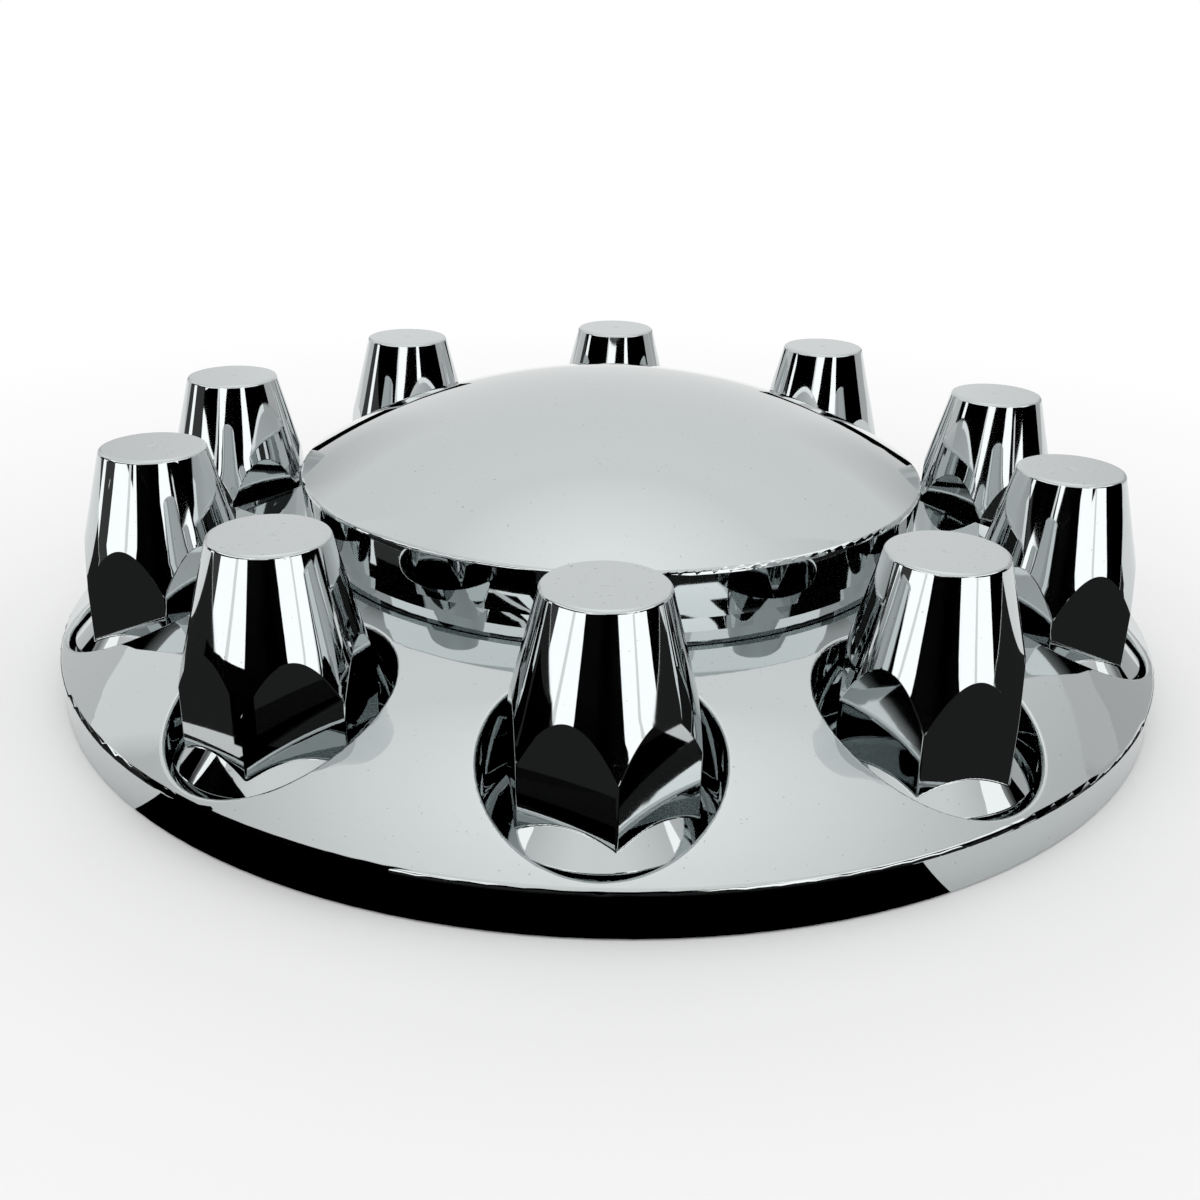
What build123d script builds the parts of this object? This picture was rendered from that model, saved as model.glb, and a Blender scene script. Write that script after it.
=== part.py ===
import math
import os

from build123d import *

os.makedirs("parts", exist_ok=True)

# A chromed truck front-axle cover: ring plate with ten nut pockets, snap-on hub cap, ten nut covers
# that screw onto push-on sleeves. The axle runs up +Z and the skirt's foot lies on Z = 0.

# Wheel pattern
nut_count = 10
bolt_circle_diameter = 285.75
wheel_nut_across_flats = 33.0

# Ring plate
ring_wall = 3.0
skirt_draft = 0.5
lip_height = 12.9
lip_radius = 2.0
rim_land = 3.1
plate_rise = 27.3
plate_bulge = 6.1

# Nut pockets
pocket_side_room = 1.5
pocket_depth_at_lip = 3.1
pocket_wall = 2.6
pocket_floor_thickness = 2.8
pocket_corner_radius = 1.2
pocket_rim_radius = 1.0

# Collar that carries the hub cap
collar_land = 16.0
collar_wall = 3.0
collar_rise = 16.1
collar_edge_radius = 1.0

# Hub cap
cap_wall = 3.2
cap_clearance = 0.4
cap_seat_gap = 0.2
cap_shadow_gap = 5.1
cap_band_taper = 1.2
cap_edge_radius = 1.6
cap_dome_rise = 27.0
cap_roof_thickness = 2.8

# Nut covers
cover_height = 63.8
cover_seat_gap = 0.2
cover_top_diameter = 30.8
cover_top_edge_radius = 1.3
cover_taper_angle = 14.4
cover_across_flats = 44.0
cover_edge_radius = 0.8
cover_wall = 2.2
gate_mark_diameter = 3.0
gate_mark_depth = 0.25
cover_turns = (9, 9.5, -27.5, -3.5, -13, -4, -14, -3.5, 28.5, 28)

# Flared foot of a nut cover
foot_diameter = 57.4
foot_edge_height = 4.6
foot_edge_radius = 0.7
foot_angle = 46.0

# Thread between cover and sleeve, modelled as two plain cylinders
thread_diameter = 41.4
thread_clearance = 0.35

# Push-on sleeves
sleeve_flange_diameter = 54.0
sleeve_flange_thickness = 2.6
sleeve_height = 31.0
sleeve_lead_in = 1.0
sleeve_nut_clearance = 0.2
floor_hole_clearance = 0.35

# Places worked out from the sizes above
bolt_radius = bolt_circle_diameter / 2
pocket_radius = foot_diameter / 2 + pocket_side_room
ring_radius = bolt_radius + pocket_radius + rim_land
collar_radius = bolt_radius - pocket_radius - collar_land
collar_inner_radius = collar_radius - collar_wall
crown_height = lip_height + plate_rise
collar_top = crown_height + collar_rise
floor_top = lip_height - pocket_depth_at_lip
floor_under = floor_top - pocket_floor_thickness
cap_inner_radius = collar_radius + cap_clearance
cap_radius = cap_inner_radius + cap_wall
cap_foot = crown_height + cap_shadow_gap
cap_edge_height = collar_top + cap_seat_gap + cap_roof_thickness
cover_foot = floor_top + cover_seat_gap
cover_top = cover_foot + cover_height
thread_radius = thread_diameter / 2
neck_radius = thread_radius - thread_clearance
sleeve_foot = floor_under - sleeve_flange_thickness


def turned(section):
    """A solid turned about the axle from a face drawn in the XZ plane."""
    return revolve(Plane.XZ * section, axis=Axis.Z)


def place(shape, number):
    """Move a shape from the axle to stud `number`, counted anticlockwise from the front."""
    angle = 360 * number / nut_count
    return Rot(0, 0, angle) * Pos(0, -bolt_radius, 0) * shape


def ring_section():
    """Section of the ring's shell: skirt, rounded lip, convex plate and collar."""
    foot_radius = ring_radius - skirt_draft
    with BuildSketch() as sketch:
        with BuildLine():
            Line((foot_radius, 0), (ring_radius, lip_height))
            SagittaArc((ring_radius, lip_height), (collar_radius, crown_height), -plate_bulge)
            Polyline(
                (collar_radius, crown_height),
                (collar_radius, collar_top),
                (collar_inner_radius, collar_top),
                (collar_inner_radius, crown_height - ring_wall),
            )
            SagittaArc(
                (collar_inner_radius, crown_height - ring_wall),
                (ring_radius - ring_wall, lip_height - ring_wall),
                plate_bulge,
            )
            Polyline(
                (ring_radius - ring_wall, lip_height - ring_wall),
                (foot_radius - ring_wall, 0),
                (foot_radius, 0),
            )
        make_face()
        lip = sketch.vertices().sort_by_distance((ring_radius, lip_height))[0]
        fillet(lip, lip_radius)
        edge = sketch.vertices().sort_by_distance((collar_radius, collar_top))[0]
        fillet(edge, collar_edge_radius)
    return sketch.sketch


def ring_envelope_section():
    """Everything below the plate's outer face, which trims the pocket cups."""
    foot_radius = ring_radius - skirt_draft
    with BuildSketch() as sketch:
        with BuildLine():
            Line((foot_radius, 0), (ring_radius, lip_height))
            SagittaArc((ring_radius, lip_height), (collar_radius, crown_height), -plate_bulge)
            Polyline((collar_radius, crown_height), (collar_radius, 0), (foot_radius, 0))
        make_face()
        lip = sketch.vertices().sort_by_distance((ring_radius, lip_height))[0]
        fillet(lip, lip_radius)
    return sketch.sketch


def pocket_void():
    """The round space of a pocket, with a rounded corner at its floor."""
    with BuildSketch() as sketch:
        with BuildLine():
            Polyline(
                (0, floor_top),
                (pocket_radius, floor_top),
                (pocket_radius, collar_top),
                (0, collar_top),
                close=True,
            )
        make_face()
        corner = sketch.vertices().sort_by_distance((pocket_radius, floor_top))[0]
        fillet(corner, pocket_corner_radius)
    return turned(sketch.sketch)


def is_pocket_rim(edge):
    """True for an edge that runs round the mouth of a pocket on the plate."""
    for position in (0.1, 0.5, 0.9):
        point = edge @ position
        if point.Z < floor_top + pocket_corner_radius + 0.1:
            return False
        nearest = min(
            math.hypot(point.X - centre.X, point.Y - centre.Y) for centre in stud_centres
        )
        if abs(nearest - pocket_radius) > 0.05:
            return False
    return True


def cover_ring():
    """The moulded ring plate with its ten pockets."""
    shell = turned(ring_section())
    envelope = turned(ring_envelope_section())
    cup_height = collar_top - floor_under
    cup = Pos(0, 0, floor_under) * extrude(Circle(pocket_radius + pocket_wall), cup_height)
    cups = [place(cup, number) for number in range(nut_count)]
    ring = shell + [one & envelope for one in cups]
    hole_radius = neck_radius + floor_hole_clearance
    hole = Pos(0, 0, floor_under) * extrude(Circle(hole_radius), pocket_floor_thickness)
    void = pocket_void() + hole
    ring = ring - [place(void, number) for number in range(nut_count)]
    rims = [edge for edge in ring.edges() if is_pocket_rim(edge)]
    return fillet(rims, pocket_rim_radius)


def hub_cap():
    """The domed cap: a shallow roof over a short band that slides onto the collar."""
    dome_top = cap_edge_height + cap_dome_rise
    with BuildSketch() as sketch:
        with BuildLine():
            Line((cap_inner_radius, cap_foot), (cap_radius - cap_band_taper, cap_foot))
            Line((cap_radius - cap_band_taper, cap_foot), (cap_radius, cap_edge_height))
            rise = (0, dome_top)
            RadiusArc((cap_radius, cap_edge_height), rise, -dome_radius(cap_radius, cap_dome_rise))
            Line(rise, (0, dome_top - cap_roof_thickness))
            seat = (cap_inner_radius, collar_top + cap_seat_gap)
            ceiling = (collar_inner_radius, collar_top + cap_seat_gap)
            inner_rise = dome_top - cap_roof_thickness - ceiling[1]
            RadiusArc((0, dome_top - cap_roof_thickness), ceiling, dome_radius(ceiling[0], inner_rise))
            Polyline(ceiling, seat, (cap_inner_radius, cap_foot))
        make_face()
        edge = sketch.vertices().sort_by_distance((cap_radius, cap_edge_height))[0]
        fillet(edge, cap_edge_radius)
    return turned(sketch.sketch)


def dome_radius(half_width, rise):
    """Radius of the arc that rises by `rise` over `half_width`."""
    return (half_width**2 + rise**2) / (2 * rise)


def cone_radius(height):
    """Radius of a nut cover's straight cone at a height above the ring's foot."""
    return cover_top_diameter / 2 + (cover_top - height) * math.tan(math.radians(cover_taper_angle))


def cover_cone():
    """The cone of a nut cover, wide enough at its foot to hold the whole hexagon."""
    with BuildSketch() as sketch:
        with BuildLine():
            Polyline(
                (0, cover_foot),
                (cone_radius(cover_foot), cover_foot),
                (cone_radius(cover_top), cover_top),
                (0, cover_top),
                close=True,
            )
        make_face()
        edge = sketch.vertices().sort_by_distance((cone_radius(cover_top), cover_top))[0]
        fillet(edge, cover_top_edge_radius)
    return turned(sketch.sketch)


def cover_flare():
    """The flared foot under the hexagon: a short upright edge and a cone that meets the flats."""
    foot_radius = foot_diameter / 2
    edge_top = cover_foot + foot_edge_height
    rise = (foot_radius - thread_radius) * math.tan(math.radians(foot_angle))
    with BuildSketch() as sketch:
        with BuildLine():
            Polyline(
                (0, cover_foot),
                (foot_radius, cover_foot),
                (foot_radius, edge_top),
                (thread_radius, edge_top + rise),
                (0, edge_top + rise),
                close=True,
            )
        make_face()
        edge = sketch.vertices().sort_by_distance((foot_radius, edge_top))[0]
        fillet(edge, foot_edge_radius)
    return turned(sketch.sketch)


def gate_mark():
    """The shallow round mark that the moulding gate leaves in the middle of a nut cover's top."""
    radius = dome_radius(gate_mark_diameter / 2, gate_mark_depth)
    return Pos(0, 0, cover_top - gate_mark_depth + radius) * Sphere(radius)


def cover_hollow():
    """The inside of a nut cover: the threaded mouth, then a cone that keeps the wall."""
    slant_wall = cover_wall / math.cos(math.radians(cover_taper_angle))
    taper = math.tan(math.radians(cover_taper_angle))
    cone_start = cover_top - (thread_radius + slant_wall - cover_top_diameter / 2) / taper
    roof = cover_top - cover_wall
    with BuildSketch() as sketch:
        with BuildLine():
            Polyline(
                (0, cover_foot),
                (thread_radius, cover_foot),
                (thread_radius, cone_start),
                (cone_radius(roof) - slant_wall, roof),
                (0, roof),
                close=True,
            )
        make_face()
    return turned(sketch.sketch)


def nut_cover():
    """One nut cover on the axle, before it is turned and placed."""
    prism = RegularPolygon(cover_across_flats / 2, 6, major_radius=False, rotation=30)
    hexagon = Pos(0, 0, cover_foot) * extrude(prism, cover_height)
    outside = (cover_cone() & hexagon) + cover_flare()
    arches = outside.edges().filter_by(GeomType.HYPERBOLA)
    edge_top = cover_foot + foot_edge_height
    uprights = [edge for edge in outside.edges().filter_by(Axis.Z) if edge.center().Z > edge_top]
    outside = fillet(arches + uprights, cover_edge_radius)
    return outside - gate_mark() - cover_hollow()


def nut_sleeve():
    """One push-on sleeve: a flange behind the pocket floor and a neck with a hexagon bore."""
    flange = extrude(Circle(sleeve_flange_diameter / 2), sleeve_flange_thickness)
    neck = extrude(Circle(neck_radius), sleeve_height)
    neck = chamfer(neck.edges().group_by(Axis.Z)[-1], sleeve_lead_in)
    nut_half_width = (wheel_nut_across_flats + sleeve_nut_clearance) / 2
    bore = extrude(RegularPolygon(nut_half_width, 6, major_radius=False), sleeve_height)
    return Pos(0, 0, sleeve_foot) * (flange + neck - bore)


stud_centres = [place(Vertex(0, 0, 0), number).center() for number in range(nut_count)]

export_step(cover_ring(), "parts/cover_ring.step")
export_step(hub_cap(), "parts/hub_cap.step")
cover = nut_cover()
sleeve = nut_sleeve()
for number in range(nut_count):
    name = f"{number + 1:02d}"
    turned_cover = Rot(0, 0, cover_turns[number]) * cover
    export_step(place(turned_cover, number), f"parts/nut_cover_{name}.step")
    export_step(place(sleeve, number), f"parts/nut_sleeve_{name}.step")
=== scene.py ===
import math
import bmesh
import bpy
from mathutils import Matrix, Vector

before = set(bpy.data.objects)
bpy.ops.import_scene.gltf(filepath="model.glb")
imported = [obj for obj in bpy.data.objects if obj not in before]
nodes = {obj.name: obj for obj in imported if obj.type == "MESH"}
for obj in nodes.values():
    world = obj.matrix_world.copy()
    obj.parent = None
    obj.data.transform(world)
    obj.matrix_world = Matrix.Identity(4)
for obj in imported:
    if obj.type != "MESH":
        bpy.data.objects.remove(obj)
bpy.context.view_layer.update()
scene = bpy.context.scene
scene.view_settings.view_transform = "Standard"
print("frame loaded,", len(nodes), "CAD nodes")


def newMaterial(name):
    material = bpy.data.materials.new(name)
    material.use_nodes = True
    tree = material.node_tree
    return material, tree, tree.nodes["Principled BSDF"]


def objectCoords(tree):
    return tree.nodes.new("ShaderNodeTexCoord").outputs["Object"]


def splitCoords(tree, coords):
    split = tree.nodes.new("ShaderNodeSeparateXYZ")
    tree.links.new(coords, split.inputs["Vector"])
    return split.outputs["X"], split.outputs["Y"], split.outputs["Z"]


def noiseNode(tree, coords, scale, detail, roughness=0.5):
    noise = tree.nodes.new("ShaderNodeTexNoise")
    noise.inputs["Scale"].default_value = scale
    noise.inputs["Detail"].default_value = detail
    noise.inputs["Roughness"].default_value = roughness
    tree.links.new(coords, noise.inputs["Vector"])
    return noise.outputs["Fac"]


def rangeNode(tree, value, fromLow, fromHigh, toLow, toHigh):
    mapRange = tree.nodes.new("ShaderNodeMapRange")
    mapRange.inputs["From Min"].default_value = fromLow
    mapRange.inputs["From Max"].default_value = fromHigh
    mapRange.inputs["To Min"].default_value = toLow
    mapRange.inputs["To Max"].default_value = toHigh
    tree.links.new(value, mapRange.inputs["Value"])
    return mapRange.outputs["Result"]


def mathNode(tree, operation, first, second=0.0):
    node = tree.nodes.new("ShaderNodeMath")
    node.operation = operation
    for socket, value in zip(node.inputs, (first, second)):
        if isinstance(value, float):
            socket.default_value = value
        else:
            tree.links.new(value, socket)
    return node.outputs["Value"]


def mixColours(tree, factor, first, second):
    mix = tree.nodes.new("ShaderNodeMix")
    mix.data_type = "RGBA"
    mix.inputs["A"].default_value = first
    mix.inputs["B"].default_value = second
    tree.links.new(factor, mix.inputs["Factor"])
    return mix.outputs["Result"]


def bumpNode(tree, height, strength, distance):
    bump = tree.nodes.new("ShaderNodeBump")
    bump.inputs["Strength"].default_value = strength
    bump.inputs["Distance"].default_value = distance
    tree.links.new(height, bump.inputs["Height"])
    return bump.outputs["Normal"]


# chromed ABS: bright plating over a moulding, so its mirror is very slightly uneven
chromeLook = {
    "colour": (0.555, 0.585, 0.588, 1.0),
    "dustColour": (0.40, 0.41, 0.41, 1.0),
    "roughness": (0.015, 0.05),
    "hazeScale": 14.0,            # wiped areas and faint haze
    "hazeDetail": 4.0,
    "hazeGrain": 0.6,
    "hazeRange": (0.35, 0.75),
    "dustScale": 900.0,           # fine specks of dust
    "dustDetail": 1.0,
    "dustRange": (0.74, 0.80),
    "gritScale": 900.0,           # pits on the nut covers' flat tops
    "gritDetail": 2.0,
    "gritRange": (0.69, 0.72),
    "topsFrom": (0.0735, 0.0737),   # heights between which the flat tops begin
    "waveScale": 38.0,            # sink and flow waves of the moulding, per metre
    "waveDetail": 1.5,
    "waveGrain": 0.4,
    "waveStrength": 1.0,
    "waveHeight": 0.000006,
}


def chromePlating(name, topDust):
    look = chromeLook
    material, tree, shader = newMaterial(name)
    coords = objectCoords(tree)
    shader.inputs["Metallic"].default_value = 1.0
    dust = noiseNode(tree, coords, look["dustScale"], look["dustDetail"])
    specks = rangeNode(tree, dust, *look["dustRange"], 0.0, 1.0)
    if topDust:
        height = splitCoords(tree, coords)[2]
        onTop = rangeNode(tree, height, *look["topsFrom"], 0.0, 1.0)
        grit = noiseNode(tree, coords, look["gritScale"], look["gritDetail"])
        pits = rangeNode(tree, grit, *look["gritRange"], 0.0, 1.0)
        specks = mathNode(tree, "MAXIMUM", specks, mathNode(tree, "MULTIPLY", onTop, pits))
    plating = mixColours(tree, specks, look["colour"], look["dustColour"])
    tree.links.new(plating, shader.inputs["Base Color"])
    haze = noiseNode(tree, coords, look["hazeScale"], look["hazeDetail"], look["hazeGrain"])
    hazeRough = rangeNode(tree, haze, *look["hazeRange"], *look["roughness"])
    tree.links.new(hazeRough, shader.inputs["Roughness"])
    wave = noiseNode(tree, coords, look["waveScale"], look["waveDetail"], look["waveGrain"])
    uneven = bumpNode(tree, wave, look["waveStrength"], look["waveHeight"])
    tree.links.new(uneven, shader.inputs["Normal"])
    return material


# plain black moulded plastic of the push-on sleeves
sleeveLook = {
    "colour": (0.030, 0.031, 0.034, 1.0),
    "worn": (0.052, 0.053, 0.057, 1.0),
    "roughness": (0.42, 0.62),
    "cloudScale": 40.0,
    "cloudDetail": 3.0,
    "cloudRange": (0.3, 0.7),
    "grainScale": 1400.0,
    "grainDetail": 2.0,
    "grainStrength": 0.6,
    "grainHeight": 0.00003,
}


def sleevePlastic():
    look = sleeveLook
    material, tree, shader = newMaterial("sleevePlastic")
    coords = objectCoords(tree)
    cloud = noiseNode(tree, coords, look["cloudScale"], look["cloudDetail"])
    plain = mixColours(tree, cloud, look["colour"], look["worn"])
    tree.links.new(plain, shader.inputs["Base Color"])
    cloudRough = rangeNode(tree, cloud, *look["cloudRange"], *look["roughness"])
    tree.links.new(cloudRough, shader.inputs["Roughness"])
    grain = noiseNode(tree, coords, look["grainScale"], look["grainDetail"])
    moulded = bumpNode(tree, grain, look["grainStrength"], look["grainHeight"])
    tree.links.new(moulded, shader.inputs["Normal"])
    return material


chrome = chromePlating("chromePlating", False)
nutChrome = chromePlating("nutChrome", True)
plastic = sleevePlastic()
for name, node in nodes.items():
    finish = chrome
    if name.startswith("nut_cover"):
        finish = nutChrome
    if name.startswith("nut_sleeve"):
        finish = plastic
    for slot in node.material_slots:
        slot.material = finish
    if not node.material_slots:
        node.data.materials.append(finish)
print("finishes on", len(nodes), "nodes")


def stageObject(name, mesh, material):
    stagePiece = bpy.data.objects.new(name, mesh)
    scene.collection.objects.link(stagePiece)
    mesh.materials.append(material)
    return stagePiece


def onlyInReflections(stagePiece):
    stagePiece.visible_camera = False
    stagePiece.visible_diffuse = False
    stagePiece.visible_shadow = False
    return stagePiece


# how finely the studio's curved sheets are divided
sheetGrid = {"degreesPerColumn": 3, "fewestColumns": 4}


def curvedSheet(name, low, high):
    # low and high give radius, height, first angle and last angle of the sheet's two edges
    spread = abs(low[3] - low[2])
    columns = max(sheetGrid["fewestColumns"], round(spread / sheetGrid["degreesPerColumn"]))
    work = bmesh.new()
    bmesh.ops.create_grid(work, x_segments=columns, y_segments=1, size=0.5)
    for vert in work.verts:
        along, upward = vert.co.x + 0.5, vert.co.y + 0.5
        radius, height, start, end = (a + (b - a) * upward for a, b in zip(low, high))
        angle = math.radians(start + (end - start) * along)
        vert.co = (radius * math.sin(angle), -radius * math.cos(angle), height)
    mesh = bpy.data.meshes.new(name)
    work.to_mesh(mesh)
    work.free()
    return mesh


def distanceNode(tree):
    # distance from the sheet's middle
    reach = tree.nodes.new("ShaderNodeVectorMath")
    reach.operation = "LENGTH"
    tree.links.new(objectCoords(tree), reach.inputs[0])
    return reach.outputs["Value"]


def glowingTree(name):
    # a material that only glows, with the glow's strength still to be given
    material, tree, shader = newMaterial(name)
    tree.nodes.remove(shader)
    emission = tree.nodes.new("ShaderNodeEmission")
    surface = tree.nodes["Material Output"].inputs["Surface"]
    tree.links.new(emission.outputs["Emission"], surface)
    return material, tree, emission.inputs["Strength"]


def plainGlow(name, strength):
    material, tree, strengthSocket = glowingTree(name)
    strengthSocket.default_value = strength
    return material


# white backdrop and pale floor
backdrop = {
    "worldColour": (1.0, 1.0, 1.0, 1.0),
    "worldStrength": 1.0,
    "floorColour": (0.92, 0.92, 0.92, 1.0),
    "floorRoughness": 0.9,
    "floorSpecular": 0.1,
    "floorSize": 40.0,
    "floorDrop": 0.0005,
    "floorFade": (0.21, 0.50),    # from here to here the floor turns into the white backdrop
}
world = bpy.data.worlds.new("paleStudio")
scene.world = world
world.use_nodes = True
background = world.node_tree.nodes["Background"]
background.inputs["Color"].default_value = backdrop["worldColour"]
background.inputs["Strength"].default_value = backdrop["worldStrength"]

floorWork = bmesh.new()
bmesh.ops.create_grid(floorWork, x_segments=2, y_segments=2, size=backdrop["floorSize"] / 2)
floorMesh = bpy.data.meshes.new("floor")
floorWork.to_mesh(floorMesh)
floorWork.free()
floorMaterial, floorTree, floorShader = newMaterial("paleFloor")
floorShader.inputs["Base Color"].default_value = backdrop["floorColour"]
floorShader.inputs["Roughness"].default_value = backdrop["floorRoughness"]
floorShader.inputs["Specular IOR Level"].default_value = backdrop["floorSpecular"]
floorBlend = floorTree.nodes.new("ShaderNodeMixShader")
floorGlow = floorTree.nodes.new("ShaderNodeEmission")
floorFade = rangeNode(floorTree, distanceNode(floorTree), *backdrop["floorFade"], 0.0, 1.0)
floorTree.links.new(floorFade, floorBlend.inputs["Fac"])
floorTree.links.new(floorShader.outputs["BSDF"], floorBlend.inputs[1])
floorTree.links.new(floorGlow.outputs["Emission"], floorBlend.inputs[2])
floorSurface = floorTree.nodes["Material Output"].inputs["Surface"]
floorTree.links.new(floorBlend.outputs["Shader"], floorSurface)
floor = stageObject("floor", floorMesh, floorMaterial)
floor.location.z = -backdrop["floorDrop"]
print("backdrop and floor set")

# upright sheets round the object, seen only in its reflections: angles of the foot, angles of the top,
# radius, foot, top, strength; angles are degrees from the front, towards the right hand
wallSheets = {
    # white panels, with a grey bar across each
    "panelLeft": ((-88.0, -5.0), (-60.0, -5.0), 1.06, 0.0, 0.215, 1.7),
    "panelLeftTop": ((-30.0, -5.0), (-22.0, 12.0), 1.06, 0.215, 0.42, 1.7),
    "panelRight": ((10.0, 72.0), (10.0, 64.0), 1.06, 0.0, 0.215, 1.7),
    "panelRightTop": ((10.0, 34.0), (30.0, 42.0), 1.06, 0.215, 0.42, 1.7),
    "panelThinNear": ((-95.0, -87.0), (-95.0, -87.0), 1.01, 0.0, 0.27, 1.6),
    "barLeft": ((-53.0, -49.5), (-22.0, -18.5), 1.04, 0.0, 0.42, 1.1),
    "barRight": ((36.0, 39.0), (42.0, 45.0), 1.04, 0.0, 0.27, 1.1),
    # black flags that make the dark stripes
    "flagFront": ((-29.0, 23.0), (-24.0, 14.0), 1.03, 0.0, 0.25, 0.0),
    "flagFrontTop": ((-24.0, 14.0), (7.0, 36.0), 1.03, 0.25, 0.42, 0.0),
    "flagLeft": ((-109.0, -74.0), (-109.0, -62.0), 1.03, 0.0, 0.20, 0.06),
    "flagRight": ((61.5, 99.0), (61.5, 103.0), 1.03, 0.0, 0.27, 0.0),
    "flagBehind": ((-109.0, 103.0), (-109.0, 103.0), 1.07, 0.0, 0.42, 0.0),
    # grey sides, and bright strips for what is mirrored twice between plate and cap
    "sideLeft": ((-130.0, -109.0), (-130.0, -109.0), 1.08, 0.0, 0.40, 0.75),
    "sideRight": ((103.0, 128.0), (103.0, 128.0), 1.08, 0.0, 0.40, 0.58),
    "stripLeft": ((-88.0, -18.0), (-88.0, -18.0), 1.05, 0.47, 0.76, 1.5),
    "stripRight": ((31.0, 86.0), (31.0, 86.0), 1.05, 0.47, 0.76, 1.5),
    # low black sheets: one close to the skirt, two at the back
    "cardLow": ((-46.0, -18.0), (-46.0, -18.0), 0.195, 0.0, 0.048, 0.0),
    "flagBackLeft": ((-168.0, -150.0), (-168.0, -150.0), 1.05, 0.0, 0.09, 0.0),
    "flagBackRight": ((150.0, 168.0), (150.0, 168.0), 1.05, 0.0, 0.09, 0.0),
}
for name, (footAngles, topAngles, radius, foot, top, strength) in wallSheets.items():
    wall = curvedSheet(name, (radius, foot, *footAngles), (radius, top, *topAngles))
    onlyInReflections(stageObject(name, wall, plainGlow(name, strength)))

# canopy above the panels: dark at its foot, then pale
canopyLook = {
    "angles": (-130.0, 128.0),
    "radius": 1.08,
    "foot": 0.40,
    "darkTop": 0.43,
    "top": 1.69,
    "rise": (0.07, 0.14),         # height over which it turns pale, at the front and at the sides
    "riseFrom": 0.55,             # share of the radius where the rise starts to change
    "sideLevel": 0.66,            # how pale it first gets at the sides
    "whiteTop": 1.69,             # height where the sides are white
    "sideFrom": 0.45,             # share of the radius where the sides begin
    "endsBehind": (0.0, 0.36),    # distance behind the axle over which its two ends turn pale
    "endLevels": (1.0, 0.68),     # how pale the left end and the right end get
    "endBlend": 0.6,              # share of the radius over which left changes to right
}


def canopyGlow():
    look = canopyLook
    radius, darkTop = look["radius"], look["darkTop"]
    material, tree, strengthSocket = glowingTree("canopy")
    across, behind, height = splitCoords(tree, objectCoords(tree))
    aside = mathNode(tree, "ABSOLUTE", across)
    rise = rangeNode(tree, aside, look["riseFrom"] * radius, radius, *look["rise"])
    above = mathNode(tree, "SUBTRACT", height, darkTop)
    upward = mathNode(tree, "MINIMUM", mathNode(tree, "DIVIDE", above, rise), 1.0)
    dimming = rangeNode(tree, height, darkTop, look["whiteTop"], 1.0 - look["sideLevel"], 0.0)
    sideways = rangeNode(tree, aside, look["sideFrom"] * radius, radius, 0.0, 1.0)
    level = mathNode(tree, "SUBTRACT", 1.0, mathNode(tree, "MULTIPLY", dimming, sideways))
    upward = mathNode(tree, "MULTIPLY", upward, level)
    ends = rangeNode(tree, behind, *look["endsBehind"], 0.0, 1.0)
    blend = look["endBlend"] * radius
    endLevel = rangeNode(tree, across, -blend, blend, *look["endLevels"])
    strength = mathNode(tree, "MAXIMUM", upward, mathNode(tree, "MULTIPLY", ends, endLevel))
    tree.links.new(strength, strengthSocket)
    return material


canopyMesh = curvedSheet(
    "canopy",
    (canopyLook["radius"], canopyLook["foot"], *canopyLook["angles"]),
    (canopyLook["radius"], canopyLook["top"], *canopyLook["angles"]),
)
onlyInReflections(stageObject("canopy", canopyMesh, canopyGlow()))

# pale wall at the back, darker low down on both sides, except at its far left end
backLook = {
    "angles": (128.0, 230.0),
    "radius": 1.4,
    "top": 1.7,
    "strengths": (0.88, 1.0),     # at its foot and at its top
    "sides": (0.45, 0.85),        # distance from the middle over which the sides turn darker
    "darker": 0.40,
    "sideHeight": (0.30, 0.75),   # the darker sides end between these heights
    "leftEnd": (-0.76, -0.60),    # shares of the radius between which the left end begins
}


def backGlow():
    look = backLook
    material, tree, strengthSocket = glowingTree("backWall")
    across, behind, height = splitCoords(tree, objectCoords(tree))
    aside = rangeNode(tree, mathNode(tree, "ABSOLUTE", across), *look["sides"], 0.0, look["darker"])
    low = rangeNode(tree, height, *look["sideHeight"], 1.0, 0.0)
    endFar, endNear = (share * look["radius"] for share in look["leftEnd"])
    leftEnd = rangeNode(tree, across, endFar, endNear, 0.0, 1.0)
    shade = mathNode(tree, "MULTIPLY", mathNode(tree, "MULTIPLY", aside, low), leftEnd)
    level = rangeNode(tree, height, 0.0, look["top"], *look["strengths"])
    strength = mathNode(tree, "MULTIPLY", level, mathNode(tree, "SUBTRACT", 1.0, shade))
    tree.links.new(strength, strengthSocket)
    return material


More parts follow.
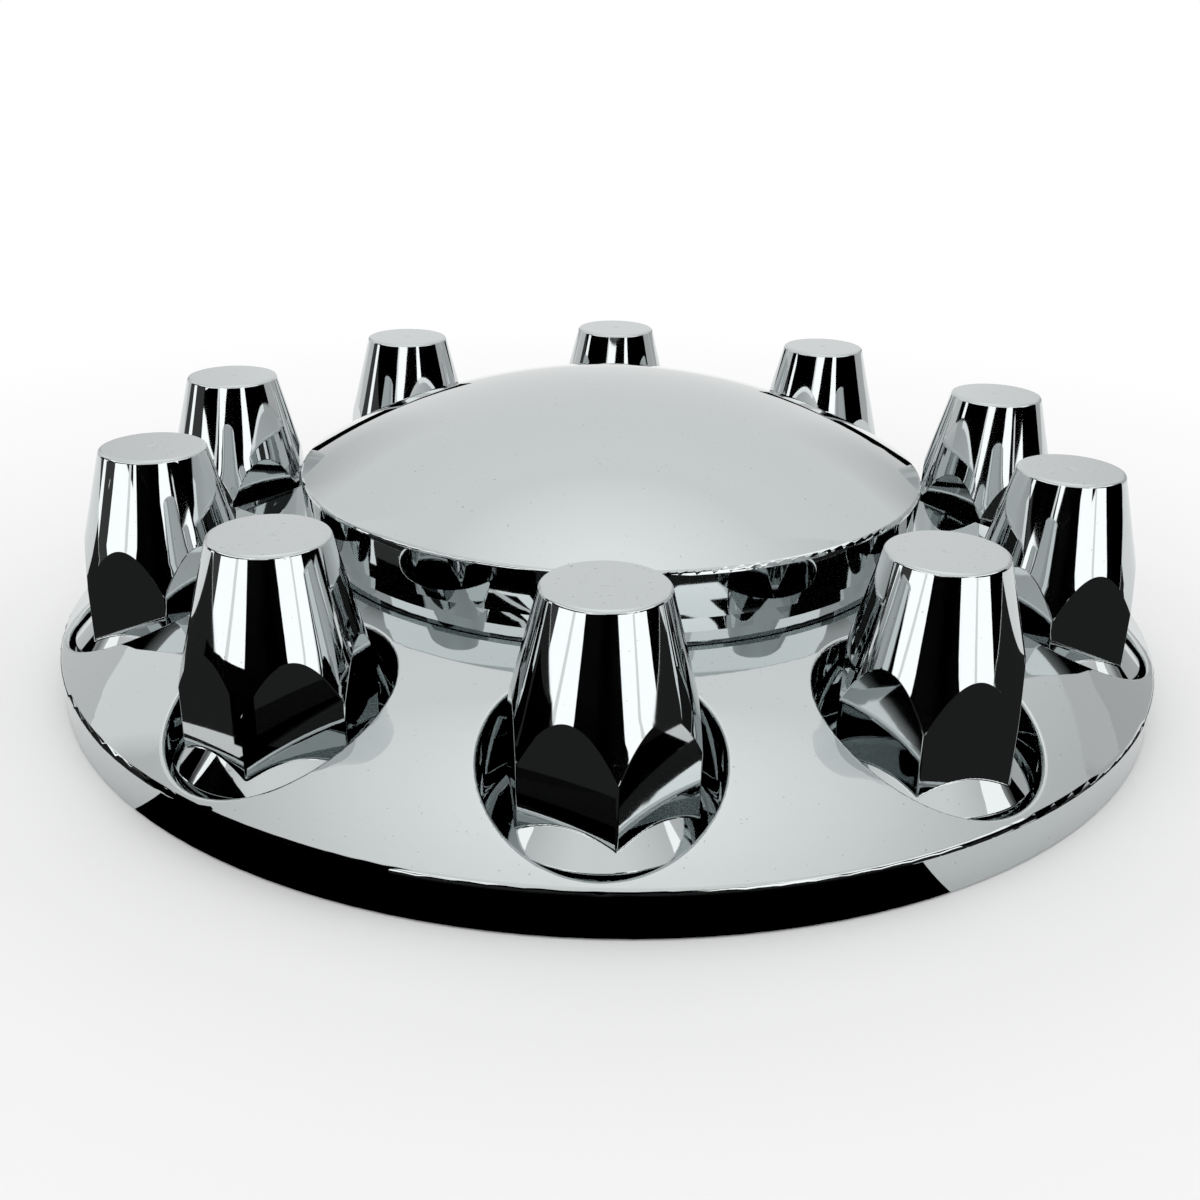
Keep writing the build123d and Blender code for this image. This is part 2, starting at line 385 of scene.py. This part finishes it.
backMesh = curvedSheet(
    "backWall",
    (backLook["radius"], 0.0, *backLook["angles"]),
    (backLook["radius"], backLook["top"], *backLook["angles"]),
)
onlyInReflections(stageObject("backWall", backMesh, backGlow()))

# black cards on the floor: first angle, last angle, inner radius, outer radius, strength
floorCards = {
    "cardNear": (-44.0, 29.0, 0.12, 0.21, 0.0),
    "cardFar": (-92.0, 88.0, 0.198, 1.0, 0.02),
}
for name, (start, end, inner, outer, strength) in floorCards.items():
    card = curvedSheet(name, (inner, 0.0, start, end), (outer, 0.0, start, end))
    onlyInReflections(stageObject(name, card, plainGlow(name, strength)))

# round lid overhead, brightest in the middle
overheadLook = {
    "height": 1.7,
    "radii": (0.001, 1.08),
    "angles": (-180.0, 180.0),
    "fade": (0.3, 1.08),          # radii between which the brightness falls
    "strengths": (1.25, 1.0),
}


def overheadGlow():
    look = overheadLook
    material, tree, strengthSocket = glowingTree("overhead")
    strength = rangeNode(tree, distanceNode(tree), *look["fade"], *look["strengths"])
    tree.links.new(strength, strengthSocket)
    return material


lidInner, lidOuter = overheadLook["radii"]
lid = curvedSheet(
    "overhead",
    (lidInner, 0.0, *overheadLook["angles"]),
    (lidOuter, 0.0, *overheadLook["angles"]),
)
overhead = onlyInReflections(stageObject("overhead", lid, overheadGlow()))
overhead.location.z = overheadLook["height"]
print("studio set")

# camera at the photograph's viewing angle
cameraLook = {
    "place": (0.0015, -0.4293, 0.1913),
    "right": (0.99963, 0.01822, 0.02016),
    "up": (-0.02568, 0.39028, 0.92034),
    "back": (0.00890, -0.92052, 0.39060),
    "lens": 40.65,
    "sensor": 36.0,
    "nearest": 0.01,
}
cameraData = bpy.data.cameras.new("camera")
cameraData.lens = cameraLook["lens"]
cameraData.sensor_width = cameraLook["sensor"]
cameraData.clip_start = cameraLook["nearest"]
camera = bpy.data.objects.new("camera", cameraData)
scene.collection.objects.link(camera)
turn = Matrix((cameraLook["right"], cameraLook["up"], cameraLook["back"])).transposed().to_4x4()
turn.translation = Vector(cameraLook["place"])
camera.matrix_world = turn
scene.camera = camera
print("camera set")
